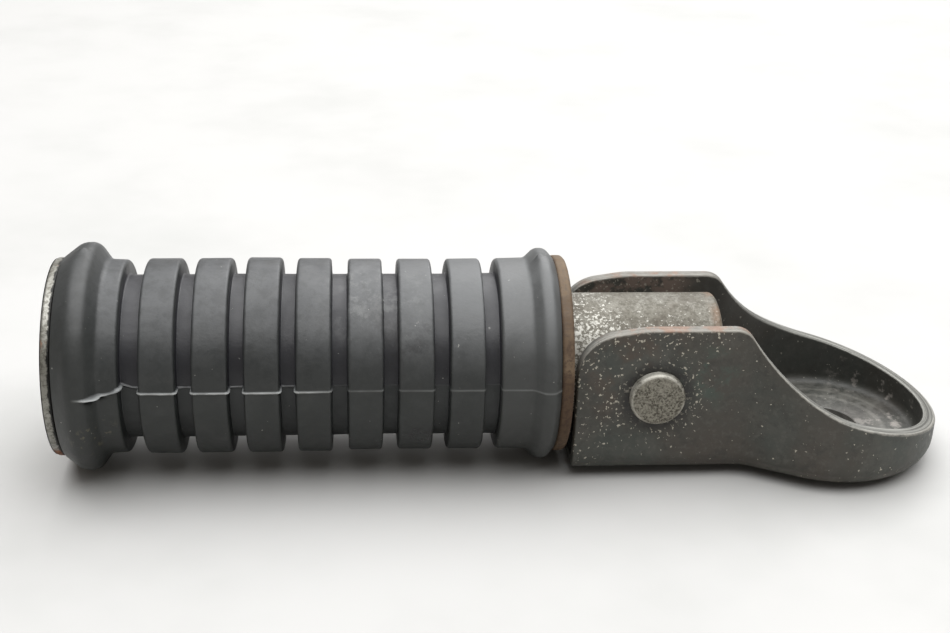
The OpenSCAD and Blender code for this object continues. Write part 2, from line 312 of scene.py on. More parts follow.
def wall_half(place, inset):
    """Half section from the floor's underside up the outer face, over the rim and down the inner face."""
    x, y, heading = place

    def at(out, z):
        return x - out * math.sin(heading), y + out * math.cos(heading), z

    def rim(out):
        return float(top_z(at(out, 0)[0]))

    bend_out = BEND_R + SHEET_T
    arcs = [math.radians(90 * i / BEND_STEPS - 90) for i in range(BEND_STEPS + 1)]
    r_out, r_in = bend_out - inset, BEND_R + inset
    outer_d, inner_d = SHEET_T - inset, inset
    points = [at(r_out * math.cos(a) - BEND_R, bend_out + r_out * math.sin(a)) for a in arcs]
    shares = [(i / WALL_ROWS) ** 0.6 for i in range(1, WALL_ROWS + 1)]
    low, high = bend_out, rim(outer_d) - EDGE_R
    points += [at(outer_d, low + (high - low) * share) for share in shares]
    for angle in EDGE_ANGLES:
        out = outer_d - EDGE_R * (1 - math.cos(math.radians(angle)))
        points.append(at(out, rim(out) - EDGE_R * (1 - math.sin(math.radians(angle)))))
    points.append(at(SHEET_T / 2, rim(SHEET_T / 2)))
    for angle in reversed(EDGE_ANGLES):
        out = inner_d + EDGE_R * (1 - math.cos(math.radians(angle)))
        points.append(at(out, rim(out) - EDGE_R * (1 - math.sin(math.radians(angle)))))
    high = rim(inner_d) - EDGE_R
    points += [at(inner_d, low + (high - low) * share) for share in reversed(shares)]
    points += [at(r_in * math.cos(a) - BEND_R, bend_out + r_in * math.sin(a)) for a in reversed(arcs)]
    return np.array(points)


def bracket_section(place, inset):
    """The whole closed section: far wall, floor's top, near wall, floor's underside."""
    far = wall_half(place, inset)
    near = far[::-1] * (1, -1, 1)
    shares = np.arange(1, FLOOR_COLUMNS)[:, None] / FLOOR_COLUMNS
    top = far[-1] + (near[0] - far[-1]) * shares
    under = near[-1] + (far[0] - near[-1]) * shares
    return np.concatenate([far, top, near, under])


def bracket_mesh():
    """The sheet from its sections, closer together at the front edge and its rounded corner."""
    edge = [EDGE_R * (1 - math.sin(math.radians(a))) for a in (90, 60, 35, 15, 0)]
    corner = [FRONT_CORNER_R * (1 - math.cos(math.radians(a))) for a in range(15, 90, 5)]
    starts = sorted(set(round(s, 4) for s in edge + corner))
    rest_n = math.ceil((HALF_L - FRONT_CORNER_R) / STATION_STEP)
    stations = starts + [FRONT_CORNER_R + (HALF_L - FRONT_CORNER_R) * i / rest_n for i in range(rest_n + 1)]
    insets = [EDGE_R - math.sqrt(max(0.0, EDGE_R ** 2 - max(0.0, EDGE_R - s) ** 2)) for s in stations]
    sections = [bracket_section(path_at(s), inset) for s, inset in zip(stations, insets)]
    m = len(sections[0])
    faces = [(i * m + j, i * m + (j + 1) % m, (i + 1) * m + (j + 1) % m, (i + 1) * m + j)
             for i in range(len(sections) - 1) for j in range(m)]
    half = (m - 2 * (FLOOR_COLUMNS - 1)) // 2
    k = half // 2
    # The front cap: the two walls' cut edges and the floor's between them
    for base in (0, half + FLOOR_COLUMNS - 1):
        faces += [(base + j, base + j + 1, base + half - 2 - j, base + half - 1 - j) for j in range(k)]
    top_row = [half - 1 + i for i in range(FLOOR_COLUMNS + 1)]
    under_row = [(m - i) % m for i in range(FLOOR_COLUMNS + 1)]
    faces += [(top_row[i], top_row[i + 1], under_row[i + 1], under_row[i]) for i in range(FLOOR_COLUMNS)]
    return mesh_object("bracket_sheet", np.concatenate(sections), faces)


def flared_cutter(name, radius, low, high, chamfer, centre, axis):
    """A cutter whose radius grows by a chamfer at each of the given faces."""
    out = 1.0
    flare = [(-out, radius + chamfer + out), (0, radius + chamfer), (chamfer * 0.35, radius + chamfer * 0.3),
             (chamfer, radius)]
    profile = [(low - out, 0)] + [(low + x, r) for x, r in flare]
    profile += [(high - x, r) for x, r in reversed(flare)] + [(high + out, 0)]
    if axis == "y":
        return lathe(name, profile, centre, "y", np.arange(0, 360, 4))
    cutter = lathe(name, profile, (0, 0, 0), "y", np.arange(0, 360, 3))
    turn = Matrix.Rotation(math.radians(90), 4, "X")
    cutter.data.transform(Matrix.Translation(Vector(centre) * MM) @ turn)
    return cutter


def build_bracket():
    """The bored sheet, with its distance below the rim and its depth in the wall for the material."""
    obj = bracket_mesh()
    cut(obj, flared_cutter("cut_bolt_hole", BOLT_HOLE_R, 0, SHEET_T, BOLT_HOLE_CHAMFER, (0, 0, 0), "z"))
    for low in (-GAP_HALF - SHEET_T, GAP_HALF):
        cut(obj, flared_cutter(
            "cut_pin_hole", PIN_HOLE_R, low, low + SHEET_T, PIN_HOLE_CHAMFER, (PIN_X, 0, PIN_H), "y"))
    obj.data.shade_smooth()
    obj.data.set_sharp_from_angle(angle=math.radians(32))
    weigh_normals(obj)
    points = vertices_mm(obj)
    samples = np.array([path_at(s) for s in np.linspace(0, HALF_L, 500)])
    side_y = np.abs(points[:, 1])
    gaps = (points[:, 0, None] - samples[None, :, 0]) ** 2 + (side_y[:, None] - samples[None, :, 1]) ** 2
    near_x, near_y, heading = samples[gaps.argmin(axis=1)].T
    depth = (side_y - near_y) * np.cos(heading) - (points[:, 0] - near_x) * np.sin(heading)
    set_attribute(obj, "below_rim", top_z(points[:, 0]) - points[:, 2])
    set_attribute(obj, "sheet_depth", depth)
    return obj


# Grip: a moulded sleeve, with its seam, vent pips and a torn flash on the outer collar

def grip_profile():
    """Half section of the grip. The ribs differ a little, and the four outer ones stand highest."""
    corners = [
        (0, GRIP_BORE_R, 0), *OUTER_BEAD,
        (OUTER_COLLAR_W, COLLAR_R, COLLAR_EDGE_R), (OUTER_COLLAR_W, GROOVE_R, GROOVE_ROOT_R)]
    draft = 0.05
    for i in range(RIB_COUNT):
        x = OUTER_COLLAR_W + OUTER_GROOVE_W + i * RIB_PITCH + rng.uniform(-0.06, 0.06)
        r = RIB_R + rng.uniform(-0.05, 0.05) + (0.2 if i < 4 else 0.0)
        corners += [
            (x - draft, GROOVE_R, GROOVE_ROOT_R), (x, r, RIB_EDGE_R),
            (x + RIB_W, r, RIB_EDGE_R), (x + RIB_W + draft, GROOVE_R, GROOVE_ROOT_R)]
    collar_x = GRIP_L - INNER_COLLAR_W
    corners += [
        (collar_x, GROOVE_R, GROOVE_ROOT_R), (collar_x, COLLAR_R, COLLAR_EDGE_R), *INNER_BEAD,
        (GRIP_L, GRIP_BORE_R, 0)]
    return divided(outline(corners, step=10.0), 1.1)


def grip_angles():
    """Angles of the grip's rows, close together at the seams and at the pips."""
    near = [0, 0.3, 0.6, 0.9, 1.3, 1.8, 2.4]
    offsets = sorted(set([-a for a in near] + near))
    seams = (SEAM_ANGLE, SEAM_ANGLE + 180, PIP_ANGLE)
    dense = [seam + a for seam in seams for a in offsets]
    base = [a for a in np.arange(-20, 340, 2.5)
            if all(abs((a - seam + 180) % 360 - 180) > 3.2 for seam in seams)]
    return np.array(sorted([a for a in base] + dense))


def bump_at(value, centre, width):
    """A smooth hump of height 1."""
    return np.exp(-((value - centre) / width) ** 2)


def angle_from(turn, centre):
    """Degrees from a centre angle, from -180 to 180."""
    return (turn - centre + 180) % 360 - 180


def seam_wander(along):
    """How far the near seam strays from its straight line, in degrees."""
    flick = 2.6 * bump_at(along, 12.9, 1.3) - 0.8 * bump_at(along, 8.5, 2.5)
    return flick + 0.25 * np.sin(along / 9.0 + 1)


def seam_strength(along):
    """Trimmed off the outer bead, thick on the outer collar and ribs, fine on the inner ones."""
    start = np.clip((along - 4.2) / 2.0, 0, 1)
    return start * (0.35 + 1.15 / (1 + np.exp((along - 52) / 3.0)))


def shape_grip(along, radius, turn):
    """Adds the seam ridge, the vent pips and the slight unevenness of moulded rubber."""
    d_along = np.gradient(along, axis=1)
    d_radius = np.gradient(radius, axis=1)
    length = np.maximum(np.hypot(d_along, d_radius), 1e-9)
    n_along, n_radius = -d_radius / length, d_along / length
    outside = np.clip((radius - GRIP_BORE_R - 1.0) / 1.5, 0, 1)
    near = angle_from(turn, SEAM_ANGLE)
    turn = turn + seam_wander(along) * np.exp(-(near / 9.0) ** 2)
    width = np.degrees(SEAM_W / RIB_R)
    ragged = 0.8 + 0.25 * np.sin(along * 1.9) + 0.2 * np.sin(along * 4.3 + 1.0)
    torn = 3.2 * bump_at(along, 8.0, 1.5) + 2.2 * bump_at(along, 12.2, 0.7)
    strong = seam_strength(along)
    height = SEAM_H * (ragged + torn) * strong * np.exp(-(near / width) ** 2)
    # The torn flap leaves a crack under it
    height -= 0.9 * bump_at(along, 8.3, 1.3) * np.exp(-((near + 1.7 * width) / width) ** 2)
    height += SEAM_H * ragged * np.exp(-(angle_from(turn, SEAM_ANGLE + 180) / width) ** 2)
    pip = bump_at(np.radians(angle_from(turn, PIP_ANGLE)) * PIP_ARC_R, 0, PIP_W)
    height += PIP_H * pip * sum(bump_at(along, x, 0.8) for x in PIP_X)
    wave = np.radians(turn)
    height += 0.05 * np.sin(2 * wave + along * 0.11) + 0.03 * np.sin(5 * wave - along * 0.23)
    return along + n_along * height * outside, radius + n_radius * height * outside, turn


def build_grip():
    """The grip, with what its material reads: seam, crack, side of the seam, groove and place along it."""
    centre = (grip_low[0], 0, AXIS_Z)
    obj = lathe("ribbed_grip", grip_profile(), centre, "x", grip_angles(), shape_grip, 50.0)
    points = vertices_mm(obj)
    along = points[:, 0] - centre[0]
    radius = np.hypot(points[:, 1], points[:, 2] - AXIS_Z)
    turn = np.degrees(np.arctan2(points[:, 2] - AXIS_Z, -points[:, 1]))
    near = angle_from(turn, SEAM_ANGLE) - seam_wander(along)
    far = angle_from(turn, SEAM_ANGLE + 180)
    width = np.degrees(0.3 / RIB_R)
    lip = (near - 0.3 * width) / (0.55 * width)
    seam = np.exp(-lip ** 2) + 0.45 * np.exp(-(far / width) ** 2)
    set_attribute(obj, "seam", seam * seam_strength(along))
    set_attribute(obj, "crack", bump_at(along, 8.2, 1.6) * np.exp(-((near + 1.5 * width) / width) ** 2))
    set_attribute(obj, "below_seam", np.clip(-near / 2.0 + 0.5, 0, 1) * (np.abs(near) < 90))
    set_attribute(obj, "groove", np.clip((RIB_R - radius) / (RIB_R - GROOVE_R), 0, 1.2))
    set_attribute(obj, "along", along)
    return obj


# Plate and washer

def build_end_plate():
    end = plate_high[0] - plate_low[0]
    profile = divided(outline([
        (0, 0, 0), (0, PLATE_R - 0.2, 0), (0, PLATE_R, 0.65), (PLATE_T, PLATE_R, 0.5),
        (PLATE_T, SPIGOT_R, 0.3), (end, SPIGOT_R, 0.6), (end, 0, 0)], step=15.0), 2.0)
    return lathe("outer_plate", profile, (plate_low[0], 0, AXIS_Z), "x", np.arange(0, 360, 2))


def shape_thrust(along, radius, turn):
    """Makes the washer's rim uneven, as rust has left it."""
    wave = np.radians(turn)
    rough = 0.06 * np.sin(7 * wave + 1) + 0.05 * np.sin(13 * wave + 2.2) + 0.04 * np.sin(29 * wave)
    rim = np.clip((radius - THRUST_R + 2) / 2, 0, 1)
    return along, radius - (0.08 + rough * 0.7) * rim, turn


def build_thrust_washer():
    t = thrust_high[0] - thrust_low[0]
    profile = divided(outline([
        (0, THRUST_BORE_R, 0), (0, THRUST_R, 0.6), (t, THRUST_R, 0.95), (t, THRUST_BORE_R, 0.3),
        (0, THRUST_BORE_R, 0)], step=15.0), 1.5)
    centre = (thrust_low[0], 0, AXIS_Z)
    return lathe("rusty_washer", profile[:-1], centre, "x", np.arange(0, 360, 1.5), shape_thrust)


# Materials

class Graph:
    """A material's nodes, with a short call for each kind that is used here."""

    def __init__(self, name, colour, roughness, metallic=0.0, specular=0.5):
        self.material = bpy.data.materials.new(name)
        self.material.use_nodes = True
        self.tree = self.material.node_tree
        self.shader = self.tree.nodes["Principled BSDF"]
        self.shader.inputs["Base Color"].default_value = (*colour, 1)
        self.shader.inputs["Roughness"].default_value = roughness
        self.shader.inputs["Metallic"].default_value = metallic
        self.shader.inputs["Specular IOR Level"].default_value = specular
        self.place = self.tree.nodes.new("ShaderNodeTexCoord").outputs["Object"]

    def put(self, socket, value):
        """Links a socket to another, or sets its number or colour."""
        if isinstance(value, bpy.types.NodeSocket):
            self.tree.links.new(value, socket)
        elif isinstance(value, tuple) and len(value) == 3 and socket.type == "RGBA":
            socket.default_value = (*value, 1)
        else:
            socket.default_value = value

    def node(self, kind, settings=None, **inputs):
        """A new node. An input's name has _ for each space."""
        node = self.tree.nodes.new(kind)
        for key, value in (settings or {}).items():
            setattr(node, key, value)
        for key, value in inputs.items():
            self.put(node.inputs[key.replace("_", " ")], value)
        return node

    def to_shader(self, **inputs):
        for key, value in inputs.items():
            self.put(self.shader.inputs[key.replace("_", " ")], value)

    def noise(self, scale, detail=4.0, rough=0.55, vector=None, distortion=0.0):
        vector = self.place if vector is None else vector
        return self.node(
            "ShaderNodeTexNoise", Scale=scale, Detail=detail, Roughness=rough, Distortion=distortion,
            Vector=vector).outputs["Fac"]

    def math(self, operation, a, b=0.0, clamp=False):
        node = self.tree.nodes.new("ShaderNodeMath")
        node.operation, node.use_clamp = operation, clamp
        self.put(node.inputs[0], a)
        self.put(node.inputs[1], b)
        return node.outputs[0]

    def times(self, a, b, clamp=False):
        return self.math("MULTIPLY", a, b, clamp)

    def plus(self, a, b, clamp=False):
        return self.math("ADD", a, b, clamp)

    def sway(self, noise, reach):
        """A noise moved to lie about 0. The reach is the whole way from its lowest to its highest."""
        return self.times(self.math("SUBTRACT", noise, 0.5), reach)

    def span(self, value, low, high, to_low=0.0, to_high=1.0):
        """Smooth step of a value from low to high."""
        node = self.node("ShaderNodeMapRange", {"interpolation_type": "SMOOTHSTEP"}, Value=value)
        for key, number in (("From Min", low), ("From Max", high), ("To Min", to_low), ("To Max", to_high)):
            self.put(node.inputs[key], number)
        return node.outputs["Result"]

    def mix(self, share, a, b):
        """Colour a where the share is 0 and colour b where it is 1."""
        node = self.tree.nodes.new("ShaderNodeMix")
        node.data_type = "RGBA"
        self.put(node.inputs[0], share)
        self.put(node.inputs[6], a)
        self.put(node.inputs[7], b)
        return node.outputs[2]

    def attribute(self, name):
        return self.node("ShaderNodeAttribute", {"attribute_name": name}).outputs["Fac"]

    def axes(self):
        """The place on the part as three numbers in mm: x, y and z."""
        place = self.node("ShaderNodeVectorMath", {"operation": "SCALE"}, Vector=self.place, Scale=1 / MM)
        return self.node("ShaderNodeSeparateXYZ", Vector=place.outputs["Vector"]).outputs[:3]

    def vector(self, **axes):
        return self.node("ShaderNodeCombineXYZ", **axes).outputs[0]

    def length(self, **axes):
        """Length of the vector with these axes."""
        node = self.node("ShaderNodeVectorMath", {"operation": "LENGTH"}, Vector=self.vector(**axes))
        return node.outputs["Value"]

    def band(self, value, centre, outer, inner):
        """1 within the inner distance of a centre value, falling to 0 at the outer distance."""
        return self.span(self.math("ABSOLUTE", self.math("SUBTRACT", value, centre)), outer, inner)

    def upward(self):
        """How far the surface faces up on the part, from -1 to 1."""
        normal = self.node("ShaderNodeTexCoord").outputs["Normal"]
        return self.node("ShaderNodeSeparateXYZ", Vector=normal).outputs["Z"]

    def near(self, point, inner, outer):
        """1 within the inner distance of a point in mm, falling to 0 at the outer distance."""
        away = self.node("ShaderNodeVectorMath", {"operation": "DISTANCE"})
        self.put(away.inputs[0], self.place)
        away.inputs[1].default_value = [c * MM for c in point]
        return self.span(away.outputs["Value"], inner * MM, outer * MM, 1.0, 0.0)

    def bump(self, *layers):
        """Stacks bumps, each a height, a strength and a distance in mm."""
        normal = None
        for height, strength, distance in layers:
            node = self.node("ShaderNodeBump", Height=height, Strength=strength, Distance=distance * MM)
            if normal is not None:
                self.put(node.inputs["Normal"], normal)
            normal = node.outputs["Normal"]
        self.put(self.shader.inputs["Normal"], normal)


def rubber():
    g = Graph("grip_rubber", (0.03, 0.033, 0.032), 0.5)
    broad = g.noise(28, 3)
    fine = g.noise(260, 5, 0.6)
    smear = g.noise(75, 5, 0.7, distortion=0.8)
    up = g.upward()
    along = g.attribute("along")
    groove = g.attribute("groove")
    # Painted sheen, partly bleaching: the rubber is painted paler where it faces up
    bleach_and_sheen = g.times(g.span(up, -0.05, 1.0), g.span(broad, 0.2, 0.75, 0.7, 1.1))
    colour = g.mix(bleach_and_sheen, (0.0155, 0.0180, 0.0172), (0.056, 0.059, 0.063))
    colour = g.mix(g.times(g.span(fine, 0.45, 0.7), 0.35), colour, (0.042, 0.044, 0.044))
    grain = g.noise(430, 5, 0.75)
    colour = g.mix(g.span(grain, 0.42, 0.64, 0.0, 0.45), colour, (0.012, 0.014, 0.014))
    # Painted sheen, partly wear: the inner ribs and collar are painted paler on top, and the inner end paler
    # all round
    handled_and_sheen = g.times(g.span(along, 45, 92), g.span(up, 0.1, 0.75))
    handled_and_sheen = g.times(handled_and_sheen, g.span(smear, 0.3, 0.65, 0.35, 0.9))
    colour = g.mix(handled_and_sheen, colour, (0.100, 0.105, 0.108))
    colour = g.mix(g.span(along, 84, 88, 0.0, 0.35), colour, (0.075, 0.078, 0.078))
    colour = g.mix(g.span(along, 9, 6, 0.0, 0.55), colour, (0.020, 0.022, 0.021))
    # Painted shade: the grooves are painted darker, and the lower half darker still, most of all in its
    # grooves
    colour = g.mix(g.span(groove, 0.08, 0.9, 0.0, 0.82), colour, (0.017, 0.017, 0.022))
    below = g.times(g.attribute("below_seam"), g.span(groove, 0.2, 1.0, 0.2, 0.6))
    colour = g.mix(below, colour, (0.017, 0.022, 0.020))
    # Dark scuffs, and pale scuffs that are partly painted sheen, over the fourth to sixth rib
    pale = g.times(g.near((-98, -11, 38), 3, 15), g.span(g.noise(210, 6, 0.75), 0.47, 0.62))
    colour = g.mix(g.times(pale, 0.55), colour, (0.15, 0.155, 0.155))
    scuff = g.times(g.near((-93, -16, 31), 3, 14), g.span(g.noise(150, 5, 0.72), 0.46, 0.60))
    colour = g.mix(g.times(scuff, 0.6), colour, (0.020, 0.020, 0.021))
    # The seam's pale lip, with a crack under the torn flap
    seam = g.times(g.attribute("seam"), g.span(g.noise(140, 3), 0.3, 0.6, 0.45, 1.0), clamp=True)
    on_top = g.span(groove, 0.9, 0.3, 0.25, 1.0)
    colour = g.mix(g.times(seam, on_top), colour, (0.25, 0.262, 0.262))
    # Painted shade: the crack under the flap is painted near black
    colour = g.mix(g.attribute("crack"), colour, (0.004, 0.004, 0.004))
    # Yellowish spatter on the outer bead, black tar on the sixth rib, and pale dust all over
    spatter = g.times(g.near((-153.8, -20, 13.2), 1.5, 6.0), g.span(g.noise(560, 3, 0.6), 0.56, 0.64))
    colour = g.mix(g.times(spatter, 0.6), colour, (0.17, 0.155, 0.10))
    tar = g.times(g.near((-88.8, -17.3, 10.8), 1.8, 4.2), g.span(g.noise(480, 3, 0.6), 0.43, 0.49))
    colour = g.mix(tar, colour, (0.003, 0.003, 0.003))
    dust = g.span(g.plus(g.noise(950, 2, 0.6), g.sway(broad, 0.12)), 0.735, 0.76)
    colour = g.mix(g.times(dust, 0.5), colour, (0.38, 0.38, 0.36))
    rough = g.math("SUBTRACT", g.span(smear, 0.3, 0.7, 0.38, 0.56), g.times(tar, 0.2))
    g.to_shader(Base_Color=colour, Roughness=rough)
    g.bump((g.noise(900, 4, 0.6), 0.18, 0.15), (grain, 0.15, 0.2), (smear, 0.22, 0.5),
           (g.noise(120, 4, 0.6), 0.15, 0.25))
    return g.material


def painted_steel():
    g = Graph("painted_steel", (0.05, 0.05, 0.045), 0.5)
    x, y, z = g.axes()
    broad = g.noise(45, 4)
    tone = g.noise(110, 4, 0.6)
    fine = g.noise(700, 4, 0.65)
    colour = g.mix(g.span(broad, 0.35, 0.65), (0.053, 0.046, 0.038), (0.042, 0.049, 0.043))
    colour = g.mix(g.span(tone, 0.45, 0.7, 0.0, 0.5), colour, (0.080, 0.079, 0.070))
    colour = g.mix(g.span(fine, 0.46, 0.72, 0.0, 0.5), colour, (0.105, 0.104, 0.095))
    colour = g.mix(g.span(g.noise(330, 5, 0.7), 0.50, 0.68, 0.0, 0.55), colour, (0.024, 0.024, 0.021))
    # Green cast behind the ear's top, and brown stains above and before the pin
    green = g.times(g.near((-30, -16, 23), 1, 10), g.span(g.noise(300, 4, 0.7), 0.46, 0.66))
    colour = g.mix(g.times(green, 0.5), colour, (0.05, 0.095, 0.078))
    brown = g.times(g.near((-45, -16, 24), 4, 16), g.span(g.noise(150, 4, 0.65), 0.45, 0.62))
    colour = g.mix(g.times(brown, 0.5), colour, (0.075, 0.045, 0.030))
    # The inside is painted darker, as painted shade in the channel and the cup. Its floor is mottled and
    # bears the rings of the bolt's washer
    depth = g.attribute("sheet_depth")
    inner = g.span(depth, 0.9, 0.1)
    colour = g.mix(g.times(inner, 0.6), colour, (0.022, 0.021, 0.018))
    from_hole = g.length(X=x, Y=y)
    floor = g.times(g.span(z, 3.4, 2.8), g.span(x, -24, -18))
    mottle = g.span(g.noise(260, 5, 0.7, distortion=0.6), 0.40, 0.62)
    rings = g.plus(g.band(from_hole, 13.8, 0.9, 0.2), g.band(from_hole, 16.8, 0.7, 0.1), clamp=True)
    pale = g.times(floor, g.plus(g.times(mottle, 0.22), g.times(rings, 0.18)))
    colour = g.mix(pale, colour, (0.20, 0.195, 0.175))
    # Bare patches on the cup's inner face
    scraped = g.times(g.times(inner, g.span(x, 2, 16)), g.span(g.noise(190, 5, 0.7), 0.56, 0.66))
    colour = g.mix(g.times(scraped, 0.7), colour, (0.26, 0.24, 0.22))
    # Rust on the inner faces under the ears' top edges
    rusted = g.times(g.times(inner, g.span(z, 21, 27)), g.span(x, -26, -34))
    rusted = g.times(rusted, g.span(g.noise(170, 5, 0.7), 0.44, 0.58))
    colour = g.mix(g.times(rusted, 0.7), colour, (0.15, 0.110, 0.092))
    # Pale specks, thickest round the pin and along the ears' top edges
    below = g.attribute("below_rim")
    round_pin = g.near(PIN_AT_EAR, 6.5, 15)
    under_edge = g.times(g.span(below, 7.0, 0.6), g.span(x, -20, -30))
    front = g.times(g.span(x, -47, -55), 0.7)
    crowd = g.plus(round_pin, g.plus(under_edge, front), clamp=True)
    grain = g.plus(g.noise(1150, 2.5, 0.6), g.times(crowd, 0.098))
    specks = g.span(g.plus(grain, g.sway(g.noise(130, 3, 0.6), 0.16)), 0.685, 0.725)
    kept = g.math("SUBTRACT", 0.88, g.times(inner, 0.6))
    colour = g.mix(g.times(specks, kept), colour, (0.50, 0.48, 0.41))
    # Dirt in a ring round the pin's head
    ring = g.near(PIN_AT_EAR, 6.2, 9.0)
    ring = g.times(ring, g.span(g.noise(420, 4, 0.7), 0.35, 0.55, 0.45, 0.95))
    colour = g.mix(ring, colour, (0.012, 0.011, 0.010))
    # Worn edge of the sheet, barest on the ears' tops and nearly black past them
    ragged = g.plus(below, g.sway(g.noise(900, 3), 0.6))
    bare = g.span(ragged, 0.2, 0.55, 1.0, 0.0)
    drawn = g.vector(X=g.times(depth, 4.0), Y=g.times(x, 0.06), Z=g.times(z, 0.06))
    lines = g.noise(1.0, 3, 0.6, vector=drawn)
    steel = g.mix(g.span(lines, 0.35, 0.68), (0.075, 0.075, 0.068), (0.27, 0.27, 0.25))
    arris = g.times(g.span(depth, 1.9, 2.4), g.span(fine, 0.3, 0.6))
    steel = g.mix(g.times(arris, 0.6), steel, (0.32, 0.31, 0.28))
    on_ear = g.span(z, 29.5, 32.5)
    steel = g.mix(g.times(on_ear, 0.5), steel, (0.165, 0.152, 0.13))
    rust = g.times(on_ear, g.span(g.noise(130, 5, 0.65), 0.47, 0.6))
    steel = g.mix(g.times(rust, 0.6), steel, (0.21, 0.105, 0.06))
    colour = g.mix(bare, colour, steel)
    g.to_shader(Base_Color=colour, Roughness=g.span(fine, 0.3, 0.7, 0.42, 0.62))
    g.to_shader(Metallic=g.times(bare, 0.3))
    g.bump((specks, 0.25, 0.1), (fine, 0.2, 0.12), (tone, 0.2, 0.3), (lines, 0.1, 0.1))
    return g.material


def zinc_tube():
    g = Graph("oxidised_zinc", (0.3, 0.29, 0.26), 0.5, 0.3)
    x, y, _ = g.axes()
    broad = g.noise(75, 5, 0.65)
    fine = g.noise(620, 5, 0.7)
    mottle = g.noise(190, 5, 0.7)
    colour = g.mix(g.span(broad, 0.36, 0.62), (0.066, 0.055, 0.038), (0.125, 0.117, 0.094))
    colour = g.mix(g.span(mottle, 0.42, 0.62, 0.0, 0.5), colour, (0.200, 0.195, 0.168))
    colour = g.mix(g.span(g.noise(1400, 4, 0.7), 0.45, 0.60, 0.0, 0.7), colour, (0.060, 0.052, 0.038))
    # White corrosion along the near side and by the washer
    near_side = g.span(y, -3, -11.5)
    by_washer = g.span(x, -44, -56)
    crowd = g.times(g.plus(near_side, by_washer), 0.1)
    frost = g.span(g.plus(g.noise(1700, 4, 0.6), g.plus(crowd, g.sway(mottle, 0.2))), 0.63, 0.74)
    colour = g.mix(g.times(frost, 0.7), colour, (0.56, 0.555, 0.51))
    # Rust round its inner end
    rust = g.times(g.span(x, -29.5, -27.2), g.span(mottle, 0.4, 0.6))
    colour = g.mix(g.times(rust, 0.6), colour, (0.16, 0.09, 0.05))
    g.to_shader(Base_Color=colour, Roughness=g.span(fine, 0.35, 0.65, 0.42, 0.65))
    g.bump((fine, 0.4, 0.15), (mottle, 0.3, 0.25))
    return g.material


def plated_plate():
    g = Graph("plated_plate", (0.5, 0.5, 0.47), 0.4, 0.6)
    x, y, z = g.axes()
    broad = g.noise(60, 4, 0.6)
    fine = g.noise(1300, 5, 0.7)
    colour = g.mix(g.span(broad, 0.35, 0.65), (0.22, 0.215, 0.19), (0.36, 0.36, 0.335))
    colour = g.mix(g.span(fine, 0.46, 0.62, 0.0, 0.7), colour, (0.07, 0.064, 0.05))
    # Orange rust on the lowest part of the rim, and spots of it elsewhere
    low = g.plus(z, g.sway(g.noise(160, 4), 6))
    from_axis = g.length(Y=y, Z=g.plus(z, -AXIS_Z))
    ragged = g.plus(from_axis, g.sway(g.noise(230, 5, 0.7), 12))
    rust = g.times(g.span(low, 8.2, 6.0), g.span(ragged, 17.8, 19.0))
    spots = g.times(g.span(g.noise(210, 5, 0.7), 0.6, 0.68), 0.5)
    rusty = g.math("MAXIMUM", rust, spots)
    rust_colour = g.mix(g.span(fine, 0.35, 0.65), (0.10, 0.035, 0.015), (0.30, 0.115, 0.05))
    colour = g.mix(rusty, colour, rust_colour)
    # A dark ragged band in the gap between the plate and the rubber
    inward = g.plus(x, g.sway(g.noise(520, 5, 0.75), 1.8))
    colour = g.mix(g.span(inward, -161.85, -161.50), colour, (0.010, 0.010, 0.009))
    g.to_shader(Base_Color=colour, Roughness=g.plus(g.times(rusty, 0.35), 0.4, clamp=True))
    g.to_shader(Metallic=g.math("SUBTRACT", 0.6, g.times(rusty, 0.6), clamp=True))
    g.bump((fine, 0.5, 0.18), (broad, 0.15, 0.3))
    return g.material


def rusty_steel():
    g = Graph("rusty_steel", (0.12, 0.08, 0.055), 0.75, 0.0, 0.3)
    broad = g.noise(90, 4, 0.6)
    fine = g.noise(850, 5, 0.75)
    colour = g.mix(g.span(broad, 0.35, 0.65), (0.085, 0.054, 0.033), (0.145, 0.104, 0.066))
    colour = g.mix(g.span(fine, 0.42, 0.62, 0.0, 0.75), colour, (0.050, 0.030, 0.021))
    # Paler where the washer faces up
    paler_on_top = g.times(g.span(g.upward(), 0.3, 0.95), g.span(fine, 0.35, 0.6))
    colour = g.mix(g.times(paler_on_top, 0.25), colour, (0.23, 0.19, 0.14))
    g.to_shader(Base_Color=colour)
    g.bump((fine, 0.6, 0.2), (broad, 0.3, 0.3))
    return g.material


def worn_pin_steel():
    g = Graph("worn_pin_steel", (0.2, 0.19, 0.16), 0.5, 0.4)
    x, _, z = g.axes()
    fine = g.noise(2500, 4, 0.7)
    broad = g.noise(260, 4, 0.65)
    colour = g.mix(g.span(fine, 0.38, 0.60), (0.045, 0.039, 0.029), (0.255, 0.245, 0.205))
    colour = g.mix(g.span(broad, 0.48, 0.66, 0.0, 0.5), colour, (0.33, 0.315, 0.27))
    # Bright rim of the head
    away = g.length(X=g.plus(x, -PIN_X), Z=g.plus(z, -PIN_H))
    rim = g.times(g.span(away, 5.0, 5.3), g.span(broad, 0.35, 0.6))
    colour = g.mix(g.times(rim, 0.75), colour, (0.52, 0.51, 0.46))
    g.to_shader(Base_Color=colour, Roughness=g.span(fine, 0.3, 0.7, 0.4, 0.62))
    g.bump((fine, 0.5, 0.12), (broad, 0.2, 0.15))
    return g.material


